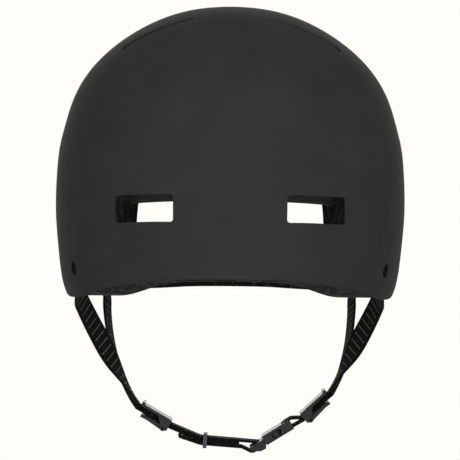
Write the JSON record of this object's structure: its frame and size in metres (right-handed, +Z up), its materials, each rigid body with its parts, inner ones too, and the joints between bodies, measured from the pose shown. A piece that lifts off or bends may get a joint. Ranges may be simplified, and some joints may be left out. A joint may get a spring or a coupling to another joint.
{
  "type": "skateboard helmet",
  "caption": "Round-shelled skateboard helmet with bead-foam liner, vents, comfort pads, riveted webbing harness, cam-lock dividers and a side-release chin buckle.",
  "frame": {"origin": "on the mid-plane, midway between front and back, at the lowest level of the shell's rim: the middle of the opening that the head goes in by", "axes": "+Z up, -Y to the front, +X to the wearer's left"},
  "size_m": [0.22, 0.272, 0.2808],
  "materials": {
    "shell": "matte charcoal moulding",
    "bead_foam": "black expanded bead foam",
    "webbing": "black woven polyester",
    "hardware": "black moulded nylon, satin",
    "rubber": "black rubber",
    "pad_cloth": "brushed lining on soft foam",
    "hook_tape": "hook tape",
    "rivet": "black",
    "washer": "zinc plated"
  },
  "bodies": {
    "helmet": {"outer_shell": "shell", "foam_liner": "bead_foam", "front_strap_right": "webbing", "rear_strap_right": "webbing", "front_strap_left": "webbing", "rear_strap_left": "webbing", "strap_rivets": "rivet", "rivet_washers": "washer", "chin_strap": "webbing", "buckle_male": "hardware", "front_pad": "pad_cloth", "rear_pad": "pad_cloth", "side_pad_right": "pad_cloth", "side_pad_left": "pad_cloth", "crown_pad": "pad_cloth", "pad_dots": "hook_tape"},
    "left_harness": {"buckle_female": "hardware", "buckle_loop": "webbing"},
    "prong_front": {"buckle_prong_front": "hardware"},
    "prong_rear": {"buckle_prong_rear": "hardware"},
    "divider_right": {"divider_base_right": "hardware", "divider_pin_right": "washer"},
    "lever_right": {"divider_lever_right": "hardware"},
    "divider_left": {"divider_base_left": "hardware", "divider_pin_left": "washer"},
    "lever_left": {"divider_lever_left": "hardware"},
    "keeper": {"strap_keeper": "rubber"}
  },
  "joints": [
    {"name": "buckle_pull", "type": "slide", "parent": "helmet", "child": "left_harness", "axis": [0.848, 0, 0.5299], "range_m": [0, 0.016], "deforming": ["front_strap_left", "rear_strap_left", "buckle_prong_front", "buckle_prong_rear"]},
    {"name": "prong_front_squeeze", "type": "hinge", "parent": "helmet", "child": "prong_front", "pos_m": [0.02246, -0.019, -0.08961], "axis": [-0.5299, 0, 0.848], "range_deg": [0, 8], "stiffness_Nm_per_rad": 0.05},
    {"name": "prong_rear_squeeze", "type": "hinge", "parent": "helmet", "child": "prong_rear", "pos_m": [0.02246, -0.005, -0.08961], "axis": [0.5299, 0, -0.848], "range_deg": [0, 8], "stiffness_Nm_per_rad": 0.05},
    {"name": "divider_right_slide", "type": "slide", "parent": "helmet", "child": "divider_right", "axis": [-0.866, 0, 0.5], "range_m": [0, 0.004], "deforming": ["front_strap_right", "rear_strap_right"]},
    {"name": "divider_left_slide", "type": "slide", "parent": "left_harness", "child": "divider_left", "axis": [0.7361, 0, 0.6769], "range_m": [0, 0.004]},
    {"name": "lever_right_open", "type": "hinge", "parent": "divider_right", "child": "lever_right", "pos_m": [-0.04137, -0.012, -0.08217], "axis": [0, -1, 0], "range_deg": [0, 80]},
    {"name": "lever_left_open", "type": "hinge", "parent": "divider_left", "child": "lever_left", "pos_m": [0.05187, -0.012, -0.07596], "axis": [0, 1, 0], "range_deg": [0, 80]},
    {"name": "keeper_slide", "type": "slide", "parent": "helmet", "child": "keeper", "axis": [0.9976, 0, -0.0698], "range_m": [0, 0.01]}
  ]
}
